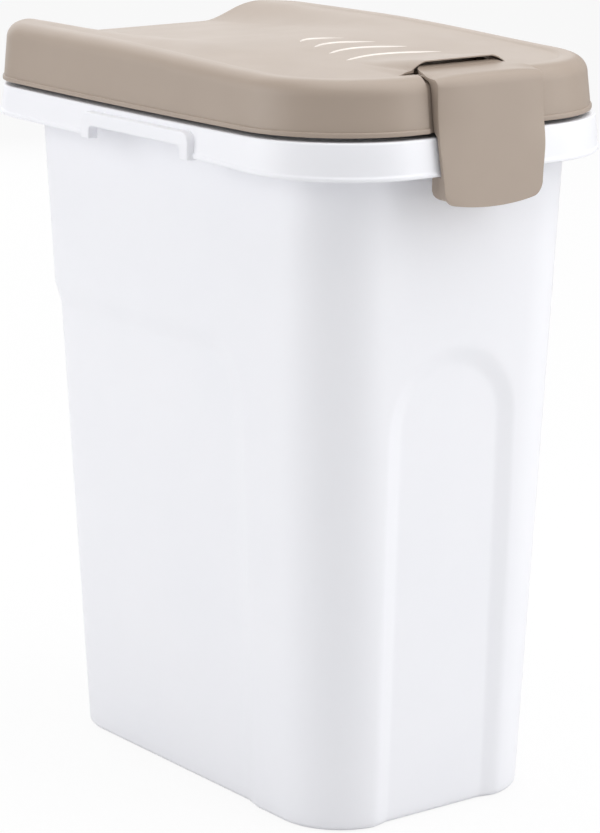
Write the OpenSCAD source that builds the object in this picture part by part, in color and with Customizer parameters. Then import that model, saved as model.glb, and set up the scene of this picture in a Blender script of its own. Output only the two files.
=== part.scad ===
// Tall kitchen food bin with a hinged lid and a front clasp.
// Millimetres, +Z up, the origin is the middle of the base, the front faces -Y.

/* [Bin] */
// Width across the base, side to side
base_w = 202; // [170:1:260]
// Depth of the base, front to back
base_d = 344; // [300:1:420]
// Width of the walls where they meet the rim
mouth_w = 238; // [210:1:300]
// Depth of the walls where they meet the rim
mouth_d = 382; // [340:1:460]
// Height of the rim's top face
bin_h = 500; // [420:5:620]
// Thickness of the moulded walls
wall_t = 2.4; // [2:0.1:4]
// Thickness of the floor
floor_t = 3; // [2.4:0.1:5]
// Radius of the upright corners
corner_r = 51; // [40:1:60]
// Rounding where the walls meet the floor
foot_r = 4; // [2:0.5:8]
// Height of the sealing lip above the rim
lip_h = 6; // [4:0.5:9]

/* [Recessed panels] */
// Depth of the recessed panels
panel_depth = 4; // [2:0.5:7]
// Width of the slope round each panel
panel_ramp = 12; // [6:1:18]
// Height of the side and back panels
side_panel_h = 349; // [250:1:420]
// Distance of the side panels' front edge ahead of the middle
side_panel_front = 90; // [50:1:110]
// Corner radius of the side panels
side_panel_r = 46; // [25:1:60]
// Width of the arched front panel
front_panel_w = 114; // [80:1:130]
// Height of the arched front panel
front_panel_h = 347; // [250:1:420]

/* [Rim] */
// How far the rim stands out from the walls
rim_out = 24; // [20:0.5:32]
// Height of the rim's skirt at the back
skirt_h = 22; // [18:0.5:30]
// How much lower the skirt hangs at the front
skirt_drop = 4; // [0:0.5:7]
// Thickness of the rim and its skirt
skirt_t = 2.3; // [2:0.1:3]
// Slope of the skirt, bottom to top
skirt_lean = 3; // [1:0.2:5]
// Outward bow of the long sides of the rim
bow_side = 5.4; // [0:0.2:9]
// Outward bow of the front of the rim
bow_front = 5.2; // [0:0.2:9]
// Plan radius of the rim's front corners
rim_front_r = 77; // [60:1:90]
// Plan radius of the rim's back corners
rim_back_r = 57; // [40:1:70]

/* [Hand grips] */
// Width of each finger opening
grip_w = 113; // [90:1:130]
// Height of each finger opening in the skirt
grip_h = 8; // [5:0.5:10]
// Width of the raised frame round the opening
grip_frame = 10; // [8:1:18]
// How far the raised frame stands out
grip_out = 4; // [2:0.5:6]
// Distance of the grips ahead of the middle
grip_ahead = 12; // [0:1:30]

/* [Lid] */
// Height of the lid's rounded top edge at the front
lid_front_h = 40; // [34:0.5:50]
// Plan radius of the lid's front corners
lid_front_r = 82; // [60:1:90]
// Plan radius of the lid's back corners
lid_back_r = 52; // [40:1:70]
// How much higher the two side banks are at the back
bank_rise = 5.5; // [2:0.5:9]
// How far the middle dips below the banks at the back
back_dip = 12.5; // [6:0.5:18]
// Half width of the flat middle
floor_half_w = 57; // [40:1:70]
// How far the top steps down inside its rounded edge
edge_dip = 1.5; // [0.5:0.1:2.5]
// Rounding of the lid's top edge
lid_edge_r = 12; // [8:1:16]
// Thickness of the lid
lid_t = 2.2; // [1.8:0.1:3]
// Gap between the rim and the lid's lower edge
lid_gap = 3; // [2:0.5:5]
// How far the lid's edge stands in from the rim's edge
lid_inset = 1.4; // [0.8:0.1:3]
// Size of the small bead along the lid's lower edge
lid_bead = 1.2; // [0.6:0.1:2]

/* [Crescents] */
// Depth of the four crescents in the lid's top
crescent_deep = 0.9; // [0.4:0.1:1.2]
// Half width of the first crescent
crescent_half = 17; // [12:0.5:22]
// How much wider each next crescent is, to each side
crescent_step = 7.2; // [5:0.2:9]
// Distance of the first crescent's tips ahead of the middle
crescent_ahead = 28; // [10:1:50]
// Spacing of the crescents, front to back
crescent_pitch = 27.5; // [20:0.5:32]
// How far each crescent arches back behind its tips
crescent_rise = 13; // [8:0.5:18]

/* [Seal] */
// Width of the seal
seal_w = 8; // [6:0.5:10]
// Height of the seal
seal_h = 6.7; // [5:0.1:9]
// Running gap between a soft or moving piece and its seat
seat_gap = 0.3; // [0.2:0.05:0.5]

/* [Lid hinge] */
// Distance of each hinge from the middle
hinge_x = 70; // [50:1:90]
// Width of each lid knuckle
knuckle_w = 24; // [16:1:32]
// Radius of the knuckles and of the ears round them
knuckle_r = 5.5; // [4.5:0.1:6.5]
// Thickness of each ear
ear_t = 5; // [4:0.5:7]
// Radius of the hinge pins
hinge_pin_r = 2.5; // [2:0.1:3]
// Radial clearance of a turning pin
pin_clear = 0.06; // [0.03:0.01:0.1]
// Gap at each side of a knuckle
side_gap = 0.4; // [0.3:0.1:0.8]

/* [Clasp] */
// Width of the clasp
clasp_w = 93; // [70:1:110]
// Width of the clasp's tail where it enters the lid
tail_w = 74; // [60:1:80]
// Width of the clasp just above its lower edge
clasp_foot_w = 87; // [66:1:106]
// How far back over the lid the clasp reaches to the hood's mouth
clasp_over = 35.5; // [30:0.5:42]
// Length of the tail's tongue behind the pivot
tongue_l = 10; // [6:0.5:12]
// Length of the clasp, from the lid's top down
clasp_drop = 89; // [80:1:100]
// Thickness of the clasp's plate
clasp_t = 2.4; // [2:0.1:3.5]
// Rounding where the clasp bends over the lid's edge
clasp_bend_r = 12; // [8:1:16]
// Rounding of the clasp's lower corners
clasp_corner_r = 8; // [5:1:20]
// How much the clasp's lower edge hangs down in the middle
clasp_bow = 4.6; // [1:0.2:8]
// How far the clasp's lower end stands out from its top
clasp_lean = 3; // [0:0.2:5]
// How far the hook reaches under the skirt
hook_reach = 8.8; // [6:0.2:11]
// Height of the hook
hook_h = 15; // [10:0.5:17]
// Radius of the clasp's pivot barrel
barrel_r = 4; // [3.5:0.1:5]
// Radius of the clasp's pin
clasp_pin_r = 1.6; // [1.2:0.1:2]
// Height of the arched hood over the clasp's tail
hood_h = 7; // [5:0.5:9]
// Length of the hood
hood_l = 66; // [40:1:90]
// Width of each sloping side of the hood, measured in from the tail's edge
hood_side = 13; // [10:1:18]

/* [Hidden] */
white = [0.95, 0.95, 0.96];
taupe = [0.68, 0.62, 0.56];
grey = [0.75, 0.75, 0.75];
arc_n = 7;
long_n = 8;
short_n = 7;
far = 400;
eps = 0.01;
// Skirt and wall levels
skirt_z = bin_h - skirt_h;
wall_top = bin_h + lip_h;
shelf_z = bin_h - skirt_t;
// Half sizes of the rim's outline at the skirt's lower edge, bows left out
rim_x = mouth_w / 2 + rim_out;
rim_y = mouth_d / 2 + rim_out;
// Lid levels and its inset from the same outline
lid_z = bin_h + lid_gap;
lid_in = skirt_lean + lid_inset + 0.4;
front_z = bin_h + lid_front_h;
draft_in = 2.2;
crest_in = draft_in + lid_edge_r;
// Lid hinge axis, behind the rim's back edge
hinge_y = rim_y - skirt_lean + 1 + knuckle_r;
hinge_z = bin_h + 3;
// Clasp planes: the plate stands just ahead of the skirt's bow
skirt_front_y = -(rim_y + bow_front);
clasp_top = front_z + 1.4;
clasp_low = clasp_top - clasp_drop;
function plate_y(z) = skirt_front_y - 1 - clasp_t + (z - skirt_z) * clasp_lean / clasp_drop;
plate_out_y = plate_y(clasp_top - clasp_bend_r);
mouth_y = skirt_front_y + clasp_over;
pivot_y = mouth_y - 3.8;
pivot_z = clasp_top - clasp_t - 1.4;
tongue_y = pivot_y + tongue_l;
tail_rise = 0.6;
// Space the tongue sweeps round the pivot, and the tub that clears it
swing_r = norm([tongue_l, clasp_top + tail_rise - pivot_z]) + 0.8;
tub_half = tail_w / 2 + 2.3;
tub_floor = pivot_z - swing_r;
tub_front = pivot_y - barrel_r - 3;
tub_back = pivot_y + swing_r;
seat_z = front_z - 1.6;
clasp_gap = 1;
lid_face_y = -(rim_y - lid_in + bow_front);
pin_hold = 5;

// ---- outline and loft helpers ----

function mix(a, b, t) = a + (b - a) * t;
function clamp01(t) = max(0, min(1, t));
function smooth(t) = clamp01(t) * clamp01(t) * (3 - 2 * clamp01(t));
function arc_pts(cx, cy, r, a0) =
  [for (i = [0 : arc_n]) [cx + r * cos(a0 + 90 * i / arc_n), cy + r * sin(a0 + 90 * i / arc_n)]];
function line_pts(p, q, n) = [for (i = [1 : n - 1]) mix(p, q, i / n)];

// Rounded rectangle with its own radii front and back, the same number of points whatever its size
function round_rect(x, yf, yb, rf, rb) =
  let (
    a = arc_pts(x - rb, yb - rb, rb, 0),
    b = arc_pts(-x + rb, yb - rb, rb, 90),
    c = arc_pts(-x + rf, -yf + rf, rf, 180),
    d = arc_pts(x - rf, -yf + rf, rf, 270)
  )
  concat(
    a, line_pts(a[arc_n], b[0], short_n),
    b, line_pts(b[arc_n], c[0], long_n),
    c, line_pts(c[arc_n], d[0], short_n),
    d, line_pts(d[arc_n], a[0], long_n)
  );

// Pushes the front and the long sides outwards in a shallow bow
function bow(p, x, yf, yb) =
  let (
    side = bow_side * (1 - pow(p[1] / (p[1] < 0 ? yf : yb), 2)) * p[0] / x,
    ahead = p[1] < 0 ? bow_front * (1 - pow(p[0] / x, 2)) * p[1] / yf : 0
  )
  [p[0] + side, p[1] + ahead];

function at_z(pts, z) = [for (p = pts) [p[0], p[1], z]];

// Wall outline of the bin at height z, moved in by an inset
function wall_ring(inset, z) =
  let (
    t = z / skirt_z,
    x = mix(base_w, mouth_w, t) / 2 - inset,
    y = mix(base_d, mouth_d, t) / 2 - inset,
    r = corner_r - inset
  )
  at_z(round_rect(x, y, y, r, r), z);

// Bowed outline moved in from the rim's edge, with its own front and back corner radii
function outline(inset, rf, rb) =
  let (x = rim_x - inset, y = rim_y - inset)
  [for (p = round_rect(x, y, y, rf - inset, rb - inset)) bow(p, x, y, y)];
function rim_pts(inset) = outline(inset, rim_front_r, rim_back_r);
function rim_ring(inset, z) = at_z(rim_pts(inset), z);
function lid_pts(inset) = outline(inset, lid_front_r, lid_back_r);
function lid_ring(inset, z) = at_z(lid_pts(inset), z);
function skirt_low(y) = skirt_z - skirt_drop * smooth((-y - 60) / (rim_y - 60));
function skirt_ring(inset, dz) = [for (p = rim_pts(inset)) [p[0], p[1], skirt_low(p[1]) + dz]];

// Solid skinned over a list of rings with equal numbers of points, counted from the bottom
function middle_of(ring) = [for (k = [0 : 2]) sum_of([for (p = ring) p[k]]) / len(ring)];
function sum_of(v) = [for (i = 0, s = v[0]; i < len(v); i = i + 1, s = s + (i < len(v) ? v[i] : 0)) s][len(v) - 1];

module loft(rings) {
  n = len(rings[0]);
  m = len(rings);
  pts = concat([for (r = rings) for (p = r) p], [middle_of(rings[0]), middle_of(rings[m - 1])]);
  sides = [
    for (j = [0 : m - 2]) for (i = [0 : n - 1])
      let (k = (i + 1) % n, a = j * n + i, b = j * n + k, c = a + n, d = b + n)
        each [[a, c, b], [b, c, d]]
  ];
  low = [for (i = [0 : n - 1]) [i, (i + 1) % n, n * m]];
  high = [for (i = [0 : n - 1]) [(m - 1) * n + (i + 1) % n, (m - 1) * n + i, n * m + 1]];
  polyhedron(points = pts, faces = concat(low, sides, high), convexity = 6);
}

// ---- bin ----

// Outline of a side panel, seen from the side; its upper edge rises a little towards the back
panel_turn = 80;
function side_panel_ring(inset, x) =
  let (
    y = -side_panel_front + inset,
    z = side_panel_h - inset,
    r = side_panel_r - inset,
    end = [y + r - r * cos(panel_turn), z - r + r * sin(panel_turn)]
  )
  concat(
    [[x, y, -far / 8], [x, far, -far / 8], [x, far, end[1] + (far - end[0]) / tan(panel_turn)]],
    [for (i = [arc_n : -1 : 0])
      let (a = panel_turn * i / arc_n)
      [x, y + r - r * cos(a), z - r + r * sin(a)]]
  );

function front_panel_ring(inset, y) =
  let (r = front_panel_w / 2 - inset, z = front_panel_h - front_panel_w / 2)
  concat(
    [[-r, y, -far / 8]],
    [for (i = [0 : 2 * arc_n]) [-r * cos(90 * i / arc_n), y, z + r * sin(90 * i / arc_n)]],
    [[r, y, -far / 8]]
  );

// The cutters lean with the walls and widen outwards, which leaves the slope round each panel
module panel_cutters(inset) {
  lean_x = atan((mouth_w - base_w) / 2 / skirt_z);
  lean_y = atan((mouth_d - base_d) / 2 / skirt_z);
  slope = panel_ramp / panel_depth;
  deep = panel_depth + 2;
  reach = 3 * panel_depth;
  difference() {
    union() {
      for (side = [0, 1])
        mirror([side, 0, 0])
          translate([base_w / 2 - inset, 0, 0])
            rotate([0, lean_x, 0])
              loft([side_panel_ring(slope * deep, -deep), side_panel_ring(-slope * reach, reach)]);
      // The side panels run on round the back corners and across the back
      translate([-far, base_d / 2 - corner_r - 10, -far / 8])
        cube([2 * far, far, side_panel_h + panel_ramp / 2 + far / 8]);
    }
    loft([
      wall_ring(inset + panel_depth + 1, -far / 4),
      wall_ring(inset + panel_depth + 1, side_panel_h - panel_ramp - slope),
      wall_ring(inset - panel_depth, side_panel_h + panel_ramp),
      wall_ring(inset - panel_depth, side_panel_h + far)
    ]);
  }
  translate([0, -base_d / 2 + inset, 0])
    rotate([lean_y, 0, 0])
      loft([front_panel_ring(-slope * reach, -reach), front_panel_ring(slope * deep, deep)]);
}

// Outside of the walls at inset 0, inside of them at the wall's thickness
module wall_form(inset, low, high) {
  r = max(foot_r - inset, 1.5);
  p = inset + panel_depth;
  difference() {
    loft([wall_ring(inset + r, low), wall_ring(inset + 0.3 * r, low + 0.3 * r), wall_ring(inset, low + r),
      wall_ring(inset, high)]);
    panel_cutters(inset);
  }
  loft([wall_ring(p + r, low), wall_ring(p + 0.3 * r, low + 0.3 * r), wall_ring(p, low + r),
    wall_ring(p, side_panel_h + panel_ramp)]);
}

module rim_shell() {
  difference() {
    loft([
      skirt_ring(0.6, 0), skirt_ring(0, 0.8), skirt_ring(0, 2.6), skirt_ring(1.3, 4),
      rim_ring(skirt_lean - 0.6, bin_h - 2.4), rim_ring(skirt_lean, bin_h - 0.8), rim_ring(skirt_lean + 1, bin_h)
    ]);
    loft([
      skirt_ring(skirt_t + 0.3, -1), skirt_ring(skirt_t + 0.3, 2),
      rim_ring(skirt_lean + skirt_t, shelf_z)
    ]);
  }
}

// Raised frame on each long side, round a finger opening in the skirt
module grip_frames() {
  half = grip_w / 2 + grip_frame;
  top = bin_h - 2.5;
  low = skirt_z - 1.5;
  inner = rim_x + 0.2;
  outer = rim_x + bow_side + grip_out - 1;
  for (side = [0, 1])
    mirror([side, 0, 0])
      translate([0, -grip_ahead, 0])
        loft([
          frame_ring(half, low, top, inner),
          frame_ring(half, low, top, outer - 1.5),
          frame_ring(half - 1.5, low + 1, top - 1.5, outer)
        ]);
}

function frame_ring(half, low, top, x) =
  let (r = 9)
  concat(
    [[x, half, low]],
    [for (i = [0 : arc_n]) [x, half - r + r * cos(90 * i / arc_n), top - r + r * sin(90 * i / arc_n)]],
    [for (i = [0 : arc_n]) [x, -half + r - r * sin(90 * i / arc_n), top - r + r * cos(90 * i / arc_n)]],
    [[x, -half, low]]
  );

module grip_openings() {
  wide = 2 * (rim_x + far);
  translate([-wide / 2, -grip_ahead - grip_w / 2, skirt_z - far / 8])
    cube([wide, grip_w, far / 8 + grip_h]);
}

// Two ears for each lid knuckle, carried by the back of the skirt
module hinge_ears() {
  for (side = [-1, 1]) for (end = [-1, 1])
    translate([side * hinge_x + end * (knuckle_w / 2 + side_gap + ear_t / 2), 0, 0]) {
      translate([-ear_t / 2, hinge_y, hinge_z])
        rotate([0, 90, 0])
          cylinder(r = knuckle_r, h = ear_t, $fn = 48);
      translate([ear_t / 2, 0, 0])
        rotate([0, -90, 0])
          linear_extrude(ear_t)
            polygon([
              [shelf_z - 1, rim_y - skirt_lean - 2], [skirt_z + 4, rim_y - 2.5],
              [hinge_z - 14, hinge_y + knuckle_r / 2], [hinge_z, hinge_y + knuckle_r],
              [hinge_z, hinge_y - knuckle_r + 0.2]
            ]);
    }
}

module hinge_bore(side) {
  translate([side * hinge_x, hinge_y, hinge_z])
    rotate([0, 90, 0])
      cylinder(r = hinge_pin_r, h = 2 * knuckle_w, center = true, $fn = 48);
}

module bin_body() {
  color(white)
    difference() {
      union() {
        difference() {
          union() {
            rim_shell();
            grip_frames();
          }
          grip_openings();
        }
        wall_form(0, 0, wall_top);
        hinge_ears();
      }
      wall_form(wall_t, floor_t, wall_top + 1);
      hinge_bore(-1);
      hinge_bore(1);
    }
}

// ---- hinge pins ----

module hinge_pin(side) {
  reach = knuckle_w / 2 + side_gap + ear_t;
  head = 2;
  color(white)
    translate([side * hinge_x, hinge_y, hinge_z])
      rotate([0, side * 90, 0]) {
        translate([0, 0, -reach - 1])
          cylinder(r = hinge_pin_r, h = 2 * reach + 1 + eps, $fn = 48);
        translate([0, 0, reach])
          cylinder(r = knuckle_r - 1.5, h = head, $fn = 48);
      }
}

module hinge_pin_left() {
  hinge_pin(-1);
}

module hinge_pin_right() {
  hinge_pin(1);
}

// ---- lid ----

// Height of the banks along the sides, and of the middle between them
function bank_z(y) = front_z + bank_rise * smooth((y + 0.78 * rim_y) / (1.1 * rim_y));
function ridge(y, s) = s * (sqrt(y * y + 1600) - 40);
function middle_z(y) =
  let (d = y + 0.13 * rim_y)
  front_z + bank_rise - 1 - (d > 0 ? ridge(d, (back_dip - 1) / (0.84 * rim_y)) : ridge(d, 0.033));
function top_z(x, y) =
  let (half = rim_x - lid_in - crest_in)
  mix(middle_z(y), bank_z(y), smooth((abs(x) - floor_half_w) / (half - 14 - floor_half_w)));

// One ring of the lid's rounded edge, from the upright wall at 0 degrees to the top at 90
function lid_edge_ring(a, off) =
  let (
    wall = lid_pts(lid_in + draft_in + off),
    top = lid_pts(lid_in + crest_in),
    n = len(wall),
    r = lid_edge_r - off
  )
  [for (i = [0 : n - 1])
    let (
      z = top_z(top[i][0], top[i][1]) - lid_edge_r,
      p = mix(wall[i], top[i], 1 - cos(a))
    )
    [p[0], p[1], z + r * sin(a)]
  ];

// Step down inside the rounded edge, deepest at the front; s is 1 at the edge and 0 in the middle
function dip(s, y) =
  let (
    front = mix(0.45, 1, smooth((-y - 0.28 * rim_y) / (0.5 * rim_y))),
    back = 1 - smooth((y - 0.56 * rim_y) / (0.23 * rim_y))
  )
  edge_dip * front * back * smooth((1 - s) / 0.05) * (1 - smooth((0.9 - s) / 0.34));
function field_z(x, y) =
  let (edge = lid_in + crest_in)
  top_z(x, y) - dip(max(abs(x) / (rim_x - edge), abs(y) / (rim_y - edge)), y);

// Rings of the top, drawn in towards the middle
function lid_top_ring(s, off) =
  [for (p = lid_pts(lid_in + crest_in))
    [p[0] * s, p[1] * s, top_z(p[0] * s, p[1] * s) - dip(s, p[1] * s) - off]];

module lid_form(off, low) {
  bead = off == 0 ? lid_bead : 0;
  loft(concat(
    off == 0 ? [lid_ring(lid_in - bead + 0.5, low), lid_ring(lid_in - bead, low + 0.8),
      lid_ring(lid_in - bead, low + 3), lid_ring(lid_in, low + 4.4)] : [lid_ring(lid_in + off, low)],
    [for (a = [0 : 22.5 : 67.5]) lid_edge_ring(a, off)],
    [for (s = [1, 0.95, 0.89, 0.82, 0.75, 0.68, 0.6, 0.5, 0.35, 0.18, 0.02]) lid_top_ring(s, off)]
  ));
}

// Arched hood that covers the clasp's tail and fades into the lid behind it
hood_flat = tail_w / 2 - hood_side;
hood_foot = tail_w / 2 + hood_side - 3.5;
hood_n = 8;
function hood_z(x, y) =
  let (
    t = smooth((y - mouth_y) / hood_l),
    up = hood_h * smooth((hood_foot - abs(x)) / (hood_foot - hood_flat))
  )
  mix(top_z(x, mouth_y) - 0.7 * edge_dip * (1 - up / hood_h), field_z(x, y), t) - 0.2 - 0.4 * t + up * (1 - t);
function hood_ring(y, off) =
  let (
    base = front_z - 12,
    half = [for (i = [0 : hood_n]) mix(hood_foot, hood_flat, i / hood_n)]
  )
  concat(
    [[-hood_foot, y, base]],
    [for (x = half) [-x, y, hood_z(x, y) - off]],
    [for (i = [hood_n : -1 : 0]) [half[i], y, hood_z(half[i], y) - off]],
    [[hood_foot, y, base]]
  );

module hood(off) {
  start = mouth_y + (off > 0 ? 2.6 : 0);
  end = mouth_y + hood_l - (off > 0 ? 3 : 0);
  loft([for (k = [0 : 6]) hood_ring(mix(start, end, k / 6), off)]);
}

// Right side of the clasp in plan, from the plate back to the hood's mouth
function clasp_side(grow) =
  let (half = clasp_w / 2, tail = tail_w / 2, start = plate_out_y + clasp_bend_r + 4, run = mouth_y - start)
  [
    [half + grow, plate_out_y - clasp_bend_r], [half + grow, start],
    [mix(half, tail, 0.36) + grow, start + 0.4 * run], [mix(half, tail, 0.66) + grow, start + 0.65 * run],
    [mix(half, tail, 0.93) + grow, start + 0.87 * run], [tail - 1 + grow, mouth_y + grow / 10]
  ];
// The seat's side, which keeps its width over the pivot so that the clasp can turn
function seat_side(grow) =
  let (side = clasp_side(clasp_gap + grow), back = side[5][1], front = mix(side[3][1], back, 0.6))
    [side[0], side[1], side[2], side[3], [tub_half + grow, front], [tub_half + grow, back]];
function both_sides(pts) =
  concat(pts, [for (i = [len(pts) - 1 : -1 : 0]) [-pts[i][0], pts[i][1]]]);

// Space for the clasp: a shallow seat in the top edge, and a deep tub round its barrel and tongue
module clasp_space(grow) {
  translate([0, 0, seat_z - grow])
    linear_extrude(far / 20)
      polygon(both_sides(seat_side(grow)));
  translate([-tub_half - grow, tub_front - grow, tub_floor - grow])
    cube([2 * (tub_half + grow), tub_back - tub_front + 2 * grow, seat_z - tub_floor + 2 * grow]);
  tail_mouth(grow);
}

// Arched mouth of the hood
module tail_mouth(grow) {
  foot = tail_w / 2 + 1.5;
  rise = hood_h - 1.4;
  translate([0, tub_back + grow, 0])
    rotate([90, 0, 0])
      linear_extrude(tub_back - mouth_y + 1 + grow)
        offset(delta = grow)
          polygon([
            [-foot, tub_floor], [foot, tub_floor], [foot, front_z + 0.22 * rise], [foot - 3.5, front_z + 0.52 * rise],
            [foot - 6.5, front_z + 0.75 * rise], [foot - 9.5, front_z + 0.93 * rise], [foot - 12.5, front_z + rise],
            [-foot + 12.5, front_z + rise], [-foot + 9.5, front_z + 0.93 * rise],
            [-foot + 6.5, front_z + 0.75 * rise], [-foot + 3.5, front_z + 0.52 * rise],
            [-foot, front_z + 0.22 * rise]
          ]);
}

// Cuts one crescent: a step along an arc, and a slope that runs out in front of it
function crescent_row(t, tip_y, half) =
  let (
    x = half * t,
    back = tip_y + crescent_rise * (1 - t * t),
    front = back - 0.7 * crescent_rise * (1 - t * t) - 0.5
  )
  [
    [x, front, field_z(x, front) + 0.04], [x, back, field_z(x, back) - crescent_deep * (1 - pow(t, 6)) - 0.05],
    [x, back, field_z(x, back) + 3], [x, front, field_z(x, front) + 3]
  ];
module crescent(i) {
  tip_y = -crescent_ahead - i * crescent_pitch;
  half = crescent_half + i * crescent_step;
  loft([for (t = [-0.96 : 0.24 : 0.97]) crescent_row(t, tip_y, half)]);
}

// Two walls and a web that hold the seal over the bin's lip, on a riser under the lid's top
module seal_channel() {
  mid = wall_t / 2;
  out = mid - seal_w / 2 - 0.1;
  in = mid + seal_w / 2 + 0.1;
  low = wall_top + 2;
  web = wall_top + seat_gap + seal_h;
  difference() {
    loft([wall_ring(out - 2, low), wall_ring(out - 2, web + 2)]);
    loft([wall_ring(in + 2, low - 1), wall_ring(in + 2, web + 3)]);
    difference() {
      loft([wall_ring(out, low - 1), wall_ring(out, web)]);
      loft([wall_ring(in, low - 2), wall_ring(in, web + 1)]);
    }
  }
  intersection() {
    difference() {
      loft([wall_ring(mid - 1, web + 1), wall_ring(mid - 1, front_z + 20)]);
      loft([wall_ring(mid + 1, web), wall_ring(mid + 1, front_z + 21)]);
    }
    lid_form(0.5, lid_z);
  }
}

module lid_knuckles() {
  for (side = [-1, 1])
    translate([side * hinge_x, 0, 0]) {
      translate([-knuckle_w / 2, hinge_y, hinge_z])
        rotate([0, 90, 0])
          cylinder(r = knuckle_r, h = knuckle_w, $fn = 48);
      translate([-knuckle_w / 2, rim_y - lid_in - 4, bin_h + 1])
        cube([knuckle_w, hinge_y - rim_y + lid_in + 4, hinge_z + knuckle_r - bin_h - 1]);
    }
}

module lid() {
  color(taupe)
    difference() {
      union() {
        difference() {
          union() {
            lid_form(0, lid_z);
            hood(0);
          }
          difference() {
            union() {
              lid_form(lid_t, lid_z - 1);
              hood(lid_t);
            }
            clasp_space(lid_t);
          }
        }
        lid_knuckles();
        seal_channel();
      }
      clasp_space(0);
      for (i = [0 : 3]) crescent(i);
      for (side = [-1, 1])
        translate([side * hinge_x, hinge_y, hinge_z])
          rotate([0, 90, 0])
            cylinder(r = hinge_pin_r + pin_clear, h = knuckle_w + 2, center = true, $fn = 48);
      translate([0, pivot_y, pivot_z])
        rotate([0, 90, 0])
          cylinder(r = clasp_pin_r, h = 2 * (tub_half + pin_hold), center = true, $fn = 32);
    }
}

module lid_seal() {
  mid = wall_t / 2;
  color(grey)
    difference() {
      loft([wall_ring(mid - seal_w / 2, wall_top + seat_gap), wall_ring(mid - seal_w / 2, wall_top + seat_gap + seal_h)]);
      loft([wall_ring(mid + seal_w / 2, wall_top), wall_ring(mid + seal_w / 2, wall_top + seat_gap + seal_h + 1)]);
    }
}

// ---- clasp ----

// Side view of the clasp's outer skin: up the front, round the bend and back to the tongue
function clasp_skin(off) =
  let (r = clasp_bend_r - off, cy = plate_out_y + clasp_bend_r, cz = clasp_top - clasp_bend_r)
  concat(
    [[plate_y(clasp_low) + off, clasp_low - eps]],
    [for (i = [0 : 6]) [cy - r * cos(15 * i), cz + r * sin(15 * i)]],
    [[mouth_y, clasp_top + tail_rise - off], [tongue_y, clasp_top + tail_rise - off]]
  );

// Right half of the clasp's front view: bowed lower edge, rounded corner, then the side
function clasp_edge_z(x) = clasp_low + clasp_bow * pow(2 * x / clasp_foot_w, 2);
function clasp_front_pts() =
  let (foot = clasp_foot_w / 2, half = clasp_w / 2, r = clasp_corner_r)
  concat(
    [for (i = [0 : 4]) [(foot - r) * i / 4, clasp_edge_z((foot - r) * i / 4)]],
    [for (a = [15 : 15 : 90]) let (x = foot - r + r * sin(a)) [x, clasp_edge_z(x) + r * (1 - cos(a))]],
    [
      [mix(foot, half, 0.6), clasp_low + 0.48 * clasp_drop], [half, clasp_low + 0.75 * clasp_drop],
      [half, clasp_top + clasp_drop]
    ]
  );

module clasp_front_cut() {
  rotate([90, 0, 0])
    linear_extrude(far)
      polygon(both_sides(clasp_front_pts()));
}

// Cuts the plan: the tail narrows towards the hood and ends in the tongue
module clasp_plan_cut() {
  side = clasp_side(0);
  end = tail_w / 2;
  linear_extrude(2 * bin_h)
    polygon(both_sides(concat(side, [[end - 3.5, mix(mouth_y, tongue_y, 0.4)], [end - 8, tongue_y]])));
}

module clasp_extrude(points, half) {
  translate([half, 0, 0])
    rotate([0, -90, 0])
      linear_extrude(2 * half)
        polygon([for (p = points) [p[1], p[0]]]);
}

module clasp() {
  half = clasp_w / 2;
  lip = skirt_low(skirt_front_y) - 0.6;
  bend_y = plate_out_y + clasp_bend_r;
  face_y = lid_face_y + draft_in - 0.7;
  hug_r = lid_edge_r + 0.7;
  hug_z = front_z - lid_edge_r;
  color(taupe)
    difference() {
      union() {
        intersection() {
          union() {
            clasp_extrude(concat(clasp_skin(0), [for (i = [len(clasp_skin(0)) - 1 : -1 : 0]) clasp_skin(clasp_t)[i]]),
              half);
            // Side flanges between the plate and the lid's front wall
            for (side = [-1, 1])
              translate([side * (half - 1.25), 0, 0])
                clasp_extrude(concat(
                  [
                    [plate_out_y + 0.5, bin_h + 1], [lid_face_y - 3, bin_h + 1.4], [lid_face_y - lid_bead - 0.8, bin_h + 3],
                    [lid_face_y - lid_bead - 0.8, lid_z + 4.8], [lid_face_y - 0.7, lid_z + 6.5]
                  ],
                  [for (a = [0 : 15 : 60]) [face_y + hug_r * (1 - cos(a)), hug_z + hug_r * sin(a)]],
                  [[bend_y, clasp_top - 1], [bend_y - 8, clasp_top - 5], [plate_out_y + 1, clasp_top - clasp_bend_r]]
                ), 1.25);
            // Hook under the skirt's lower edge
            clasp_extrude([
              [plate_y(lip) + 1, lip - hook_h], [skirt_front_y, lip - hook_h],
              [skirt_front_y + 0.65 * hook_reach, lip - 0.9 * hook_h],
              [skirt_front_y + 0.93 * hook_reach, lip - 0.62 * hook_h],
              [skirt_front_y + hook_reach, lip - 0.37 * hook_h], [skirt_front_y + 0.76 * hook_reach, lip - 0.22 * hook_h],
              [skirt_front_y + 0.5 * hook_reach, lip - 0.13 * hook_h], [skirt_front_y - 0.6, lip],
              [plate_y(lip) + 1, lip]
            ], clasp_foot_w / 2 - 1);
          }
          clasp_front_cut();
          clasp_plan_cut();
        }
        translate([-tail_w / 2 + 2, pivot_y, pivot_z])
          rotate([0, 90, 0])
            cylinder(r = barrel_r, h = tail_w - 4, $fn = 48);
      }
      translate([0, pivot_y, pivot_z])
        rotate([0, 90, 0])
          cylinder(r = clasp_pin_r + pin_clear, h = 2 * clasp_w, center = true, $fn = 48);
    }
}

module clasp_pin() {
  color(grey)
    translate([0, pivot_y, pivot_z])
      rotate([0, 90, 0])
        cylinder(r = clasp_pin_r, h = 2 * (tub_half + pin_hold) - 1, center = true, $fn = 48);
}

bin_body();
hinge_pin_left();
hinge_pin_right();
lid();
lid_seal();
clasp();
clasp_pin();
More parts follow.
